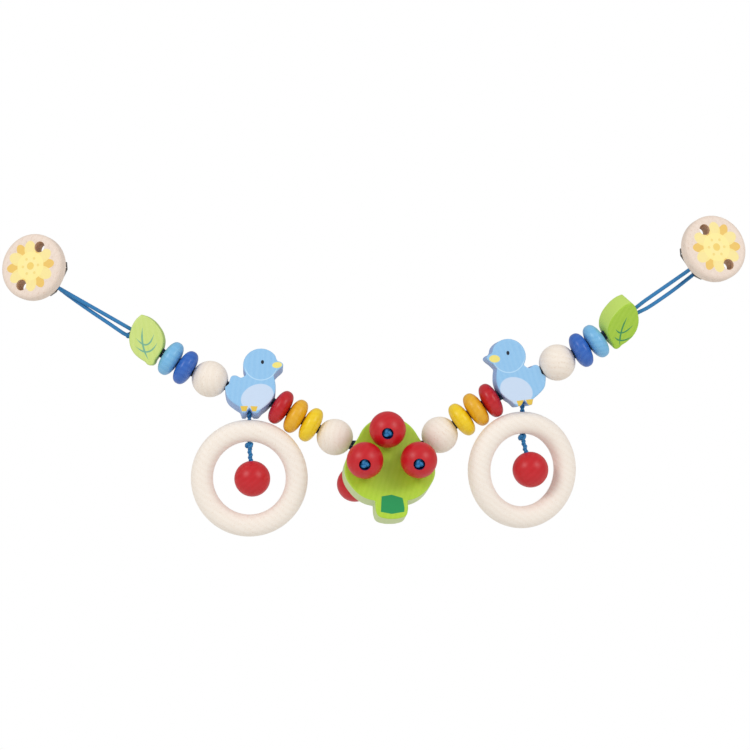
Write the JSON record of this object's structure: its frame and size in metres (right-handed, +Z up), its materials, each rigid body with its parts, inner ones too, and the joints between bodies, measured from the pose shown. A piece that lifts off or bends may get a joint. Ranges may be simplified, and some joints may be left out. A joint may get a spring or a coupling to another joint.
{
  "type": "pram chain toy",
  "caption": "Wooden chain for a pram: birds, leaves, a tree with berries and coloured beads on blue elastic, with a ring under each bird, between cam clips on discs.",
  "frame": {"origin": "midway between the eye bars of the two clips, which the pram holds", "axes": "+X from the left clip towards the right one, +Y away from the viewer, +Z up"},
  "size_m": [0.4065, 0.0593, 0.1754],
  "materials": {
    "beech": "bare beech, sanded",
    "red_lacquer": "satin coloured lacquer",
    "orange_lacquer": "satin coloured lacquer",
    "yellow_lacquer": "satin coloured lacquer",
    "light_blue_lacquer": "satin coloured lacquer",
    "dark_blue_lacquer": "satin coloured lacquer",
    "bird_blue_lacquer": "satin coloured lacquer with printed details",
    "leaf_green_lacquer": "satin coloured lacquer with printed veins",
    "tree_green_lacquer": "satin coloured lacquer",
    "blue_elastic": "braided elastic cord",
    "nickel_plated_steel": "nickel plated",
    "white_nylon": "moulded"
  },
  "bodies": {
    "clips": {"left_disc": "beech", "left_plate": "nickel_plated_steel", "left_rivet": "nickel_plated_steel", "left_pivot_pin": "nickel_plated_steel", "left_pad": "white_nylon", "right_disc": "beech", "right_plate": "nickel_plated_steel", "right_rivet": "nickel_plated_steel", "right_pivot_pin": "nickel_plated_steel", "right_pad": "white_nylon"},
    "left_lever": {"left_lever": "nickel_plated_steel"},
    "right_lever": {"right_lever": "nickel_plated_steel"},
    "chain": {"upper_strand": "blue_elastic", "lower_strand": "blue_elastic", "left_loop": "blue_elastic", "right_loop": "blue_elastic", "knot": "blue_elastic"},
    "tree": {"tree": "tree_green_lacquer"},
    "left_bird": {"left_bird": "bird_blue_lacquer"},
    "right_bird": {"right_bird": "bird_blue_lacquer"},
    "left_hanger": {"left_hanger_cord": "blue_elastic"},
    "left_ring": {"left_ring": "beech"},
    "left_drop_knot": {"left_drop_knot": "blue_elastic"},
    "left_drop_cord": {"left_drop_cord": "blue_elastic"},
    "left_drop_ball": {"left_drop_ball": "red_lacquer"},
    "right_hanger": {"right_hanger_cord": "blue_elastic"},
    "right_ring": {"right_ring": "beech"},
    "right_drop_knot": {"right_drop_knot": "blue_elastic"},
    "right_drop_cord": {"right_drop_cord": "blue_elastic"},
    "right_drop_ball": {"right_drop_ball": "red_lacquer"},
    "top_berry_cord": {"top_berry_cord": "blue_elastic"},
    "top_front_berry": {"top_front_berry": "red_lacquer"},
    "top_rear_berry": {"top_rear_berry": "red_lacquer"},
    "left_berry_cord": {"left_berry_cord": "blue_elastic"},
    "left_front_berry": {"left_front_berry": "red_lacquer"},
    "left_rear_berry": {"left_rear_berry": "red_lacquer"},
    "right_berry_cord": {"right_berry_cord": "blue_elastic"},
    "right_front_berry": {"right_front_berry": "red_lacquer"},
    "right_rear_berry": {"right_rear_berry": "red_lacquer"},
    "left_inner_ball": {"left_inner_ball": "beech"},
    "left_yellow_bead": {"left_yellow_bead": "yellow_lacquer"},
    "left_orange_bead": {"left_orange_bead": "orange_lacquer"},
    "left_red_bead": {"left_red_bead": "red_lacquer"},
    "left_outer_ball": {"left_outer_ball": "beech"},
    "left_dark_blue_bead": {"left_dark_blue_bead": "dark_blue_lacquer"},
    "left_light_blue_bead": {"left_light_blue_bead": "light_blue_lacquer"},
    "left_leaf": {"left_leaf": "leaf_green_lacquer"},
    "right_inner_ball": {"right_inner_ball": "beech"},
    "right_yellow_bead": {"right_yellow_bead": "yellow_lacquer"},
    "right_orange_bead": {"right_orange_bead": "orange_lacquer"},
    "right_red_bead": {"right_red_bead": "red_lacquer"},
    "right_outer_ball": {"right_outer_ball": "beech"},
    "right_dark_blue_bead": {"right_dark_blue_bead": "dark_blue_lacquer"},
    "right_light_blue_bead": {"right_light_blue_bead": "light_blue_lacquer"},
    "right_leaf": {"right_leaf": "leaf_green_lacquer"}
  },
  "joints": [
    {"name": "left_lever_pivot", "type": "hinge", "parent": "clips", "child": "left_lever", "pos_m": [-0.19174, 0.01312, 0.00596], "axis": [0.4321, 0, 0.9018], "range_deg": [0, 110]},
    {"name": "right_lever_pivot", "type": "hinge", "parent": "clips", "child": "right_lever", "pos_m": [0.18994, 0.01312, 0.01693], "axis": [0.5678, 0, -0.8231], "range_deg": [0, 110]},
    {"name": "chain_swing", "type": "hinge", "parent": "clips", "child": "chain", "pos_m": [-0.173, 0, -0.0079], "axis": [0.9997, 0, 0.0251], "range_deg": [-15, 35]},
    {"name": "tree_swing", "type": "hinge", "parent": "chain", "child": "tree", "pos_m": [0.00715, 0, -0.09388], "axis": [1, 0, 0], "range_deg": [-20, 60]},
    {"name": "left_bird_swing", "type": "hinge", "parent": "chain", "child": "left_bird", "pos_m": [-0.06754, 0, -0.06628], "axis": [0.9397, 0, -0.342], "range_deg": [-40, 60]},
    {"name": "right_bird_swing", "type": "hinge", "parent": "chain", "child": "right_bird", "pos_m": [0.07864, 0, -0.0605], "axis": [0.8572, 0, 0.515], "range_deg": [-60, 15]},
    {"name": "left_hanger_swing", "type": "hinge", "parent": "left_bird", "child": "left_hanger", "pos_m": [-0.06844, -0.00308, -0.07376], "axis": [1, 0, 0], "range_deg": [-16, 10]},
    {"name": "left_ring_twist", "type": "hinge", "parent": "left_hanger", "child": "left_ring", "pos_m": [-0.06844, -0.00308, -0.07986], "axis": [0, 0, 1], "continuous": true},
    {"name": "left_drop_swing_fore_aft", "type": "hinge", "parent": "left_ring", "child": "left_drop_knot", "pos_m": [-0.06844, -0.00308, -0.09376], "axis": [1, 0, 0], "range_deg": [-65, 65]},
    {"name": "left_drop_swing_sideways", "type": "hinge", "parent": "left_drop_knot", "child": "left_drop_cord", "pos_m": [-0.06844, -0.00308, -0.09376], "axis": [0, 1, 0], "range_deg": [-23, 20]},
    {"name": "left_drop_ball_spin", "type": "hinge", "parent": "left_drop_cord", "child": "left_drop_ball", "pos_m": [-0.06684, -0.00308, -0.11204], "axis": [0.0872, 0, -0.9962], "continuous": true},
    {"name": "right_hanger_swing", "type": "hinge", "parent": "right_bird", "child": "right_hanger", "pos_m": [0.08065, -0.00041, -0.06832], "axis": [1, 0, 0], "range_deg": [-17, 16]},
    {"name": "right_ring_twist", "type": "hinge", "parent": "right_hanger", "child": "right_ring", "pos_m": [0.08065, -0.00041, -0.07552], "axis": [0, 0, 1], "continuous": true},
    {"name": "right_drop_swing_fore_aft", "type": "hinge", "parent": "right_ring", "child": "right_drop_knot", "pos_m": [0.08065, -0.00041, -0.08942], "axis": [0.9336, 0.3584, 0], "range_deg": [-65, 65]},
    {"name": "right_drop_swing_sideways", "type": "hinge", "parent": "right_drop_knot", "child": "right_drop_cord", "pos_m": [0.08065, -0.00041, -0.08942], "axis": [-0.3584, 0.9336, 0], "range_deg": [-18, 14]},
    {"name": "right_drop_ball_spin", "type": "hinge", "parent": "right_drop_cord", "child": "right_drop_ball", "pos_m": [0.08509, -0.00041, -0.10723], "axis": [0.2419, 0, -0.9703], "continuous": true},
    {"name": "top_berry_slide", "type": "slide", "parent": "tree", "child": "top_berry_cord", "axis": [0.1219, -0.9385, 0.3231], "range_m": [0, 0.002]},
    {"name": "top_front_berry_spin", "type": "hinge", "parent": "top_berry_cord", "child": "top_front_berry", "pos_m": [0.00689, -0.01441, -0.0849], "axis": [0, -0.9781, -0.2079], "continuous": true},
    {"name": "top_rear_berry_spin", "type": "hinge", "parent": "top_berry_cord", "child": "top_rear_berry", "pos_m": [0.00106, 0.01812, -0.09941], "axis": [-0.167, 0.4572, -0.8735], "continuous": true},
    {"name": "left_berry_slide", "type": "slide", "parent": "tree", "child": "left_berry_cord", "axis": [0.1219, -0.9385, 0.3231], "range_m": [0, 0.002]},
    {"name": "left_front_berry_spin", "type": "hinge", "parent": "left_berry_cord", "child": "left_front_berry", "pos_m": [-0.00525, -0.0216, -0.10119], "axis": [0, -0.9781, -0.2079], "continuous": true},
    {"name": "left_rear_berry_spin", "type": "hinge", "parent": "left_berry_cord", "child": "left_rear_berry", "pos_m": [-0.01108, 0.01093, -0.1157], "axis": [-0.167, 0.4572, -0.8735], "continuous": true},
    {"name": "right_berry_slide", "type": "slide", "parent": "tree", "child": "right_berry_cord", "axis": [0.1219, -0.9385, 0.3231], "range_m": [0, 0.002]},
    {"name": "right_front_berry_spin", "type": "hinge", "parent": "right_berry_cord", "child": "right_front_berry", "pos_m": [0.0237, -0.01783, -0.10115], "axis": [0, -0.9781, -0.2079], "continuous": true},
    {"name": "right_rear_berry_spin", "type": "hinge", "parent": "right_berry_cord", "child": "right_rear_berry", "pos_m": [0.01787, 0.0147, -0.11566], "axis": [-0.167, 0.4572, -0.8735], "continuous": true},
    {"name": "left_inner_ball_spin", "type": "hinge", "parent": "chain", "child": "left_inner_ball", "pos_m": [-0.02188, 0, -0.08943], "axis": [0.8988, 0, -0.4384], "continuous": true},
    {"name": "left_yellow_bead_spin", "type": "hinge", "parent": "chain", "child": "left_yellow_bead", "pos_m": [-0.03502, 0, -0.08274], "axis": [0.8746, 0, -0.4848], "continuous": true},
    {"name": "left_orange_bead_spin", "type": "hinge", "parent": "chain", "child": "left_orange_bead", "pos_m": [-0.04328, 0, -0.07806], "axis": [0.866, 0, -0.5], "continuous": true},
    {"name": "left_red_bead_spin", "type": "hinge", "parent": "chain", "child": "left_red_bead", "pos_m": [-0.05142, 0, -0.07316], "axis": [0.848, 0, -0.5299], "continuous": true},
    {"name": "left_outer_ball_spin", "type": "hinge", "parent": "chain", "child": "left_outer_ball", "pos_m": [-0.0902, 0, -0.05766], "axis": [0.9272, 0, -0.3746], "continuous": true},
    {"name": "left_dark_blue_bead_spin", "type": "hinge", "parent": "chain", "child": "left_dark_blue_bead", "pos_m": [-0.10353, 0, -0.05144], "axis": [0.8572, 0, -0.515], "continuous": true},
    {"name": "left_light_blue_bead_spin", "type": "hinge", "parent": "chain", "child": "left_light_blue_bead", "pos_m": [-0.11163, 0, -0.04648], "axis": [0.848, 0, -0.5299], "continuous": true},
    {"name": "left_leaf_spin", "type": "hinge", "parent": "chain", "child": "left_leaf", "pos_m": [-0.12407, 0, -0.03828], "axis": [0.829, 0, -0.5592], "range_deg": [-135, 135]},
    {"name": "right_inner_ball_spin", "type": "hinge", "parent": "chain", "child": "right_inner_ball", "pos_m": [0.03546, 0, -0.08821], "axis": [0.829, 0, 0.5592], "continuous": true},
    {"name": "right_yellow_bead_spin", "type": "hinge", "parent": "chain", "child": "right_yellow_bead", "pos_m": [0.04759, 0, -0.07982], "axis": [0.809, 0, 0.5878], "continuous": true},
    {"name": "right_orange_bead_spin", "type": "hinge", "parent": "chain", "child": "right_orange_bead", "pos_m": [0.05537, 0, -0.07438], "axis": [0.829, 0, 0.5592], "continuous": true},
    {"name": "right_red_bead_spin", "type": "hinge", "parent": "chain", "child": "right_red_bead", "pos_m": [0.06347, 0, -0.06943], "axis": [0.8746, 0, 0.4848], "continuous": true},
    {"name": "right_outer_ball_spin", "type": "hinge", "parent": "chain", "child": "right_outer_ball", "pos_m": [0.09977, 0, -0.04863], "axis": [0.891, 0, 0.454], "continuous": true},
    {"name": "right_dark_blue_bead_spin", "type": "hinge", "parent": "chain", "child": "right_dark_blue_bead", "pos_m": [0.11287, 0, -0.04186], "axis": [0.8829, 0, 0.4695], "continuous": true},
    {"name": "right_light_blue_bead_spin", "type": "hinge", "parent": "chain", "child": "right_light_blue_bead", "pos_m": [0.121, 0, -0.03696], "axis": [0.829, 0, 0.5592], "continuous": true},
    {"name": "right_leaf_spin", "type": "hinge", "parent": "chain", "child": "right_leaf", "pos_m": [0.13293, 0, -0.02805], "axis": [0.788, 0, 0.6157], "continuous": true}
  ]
}
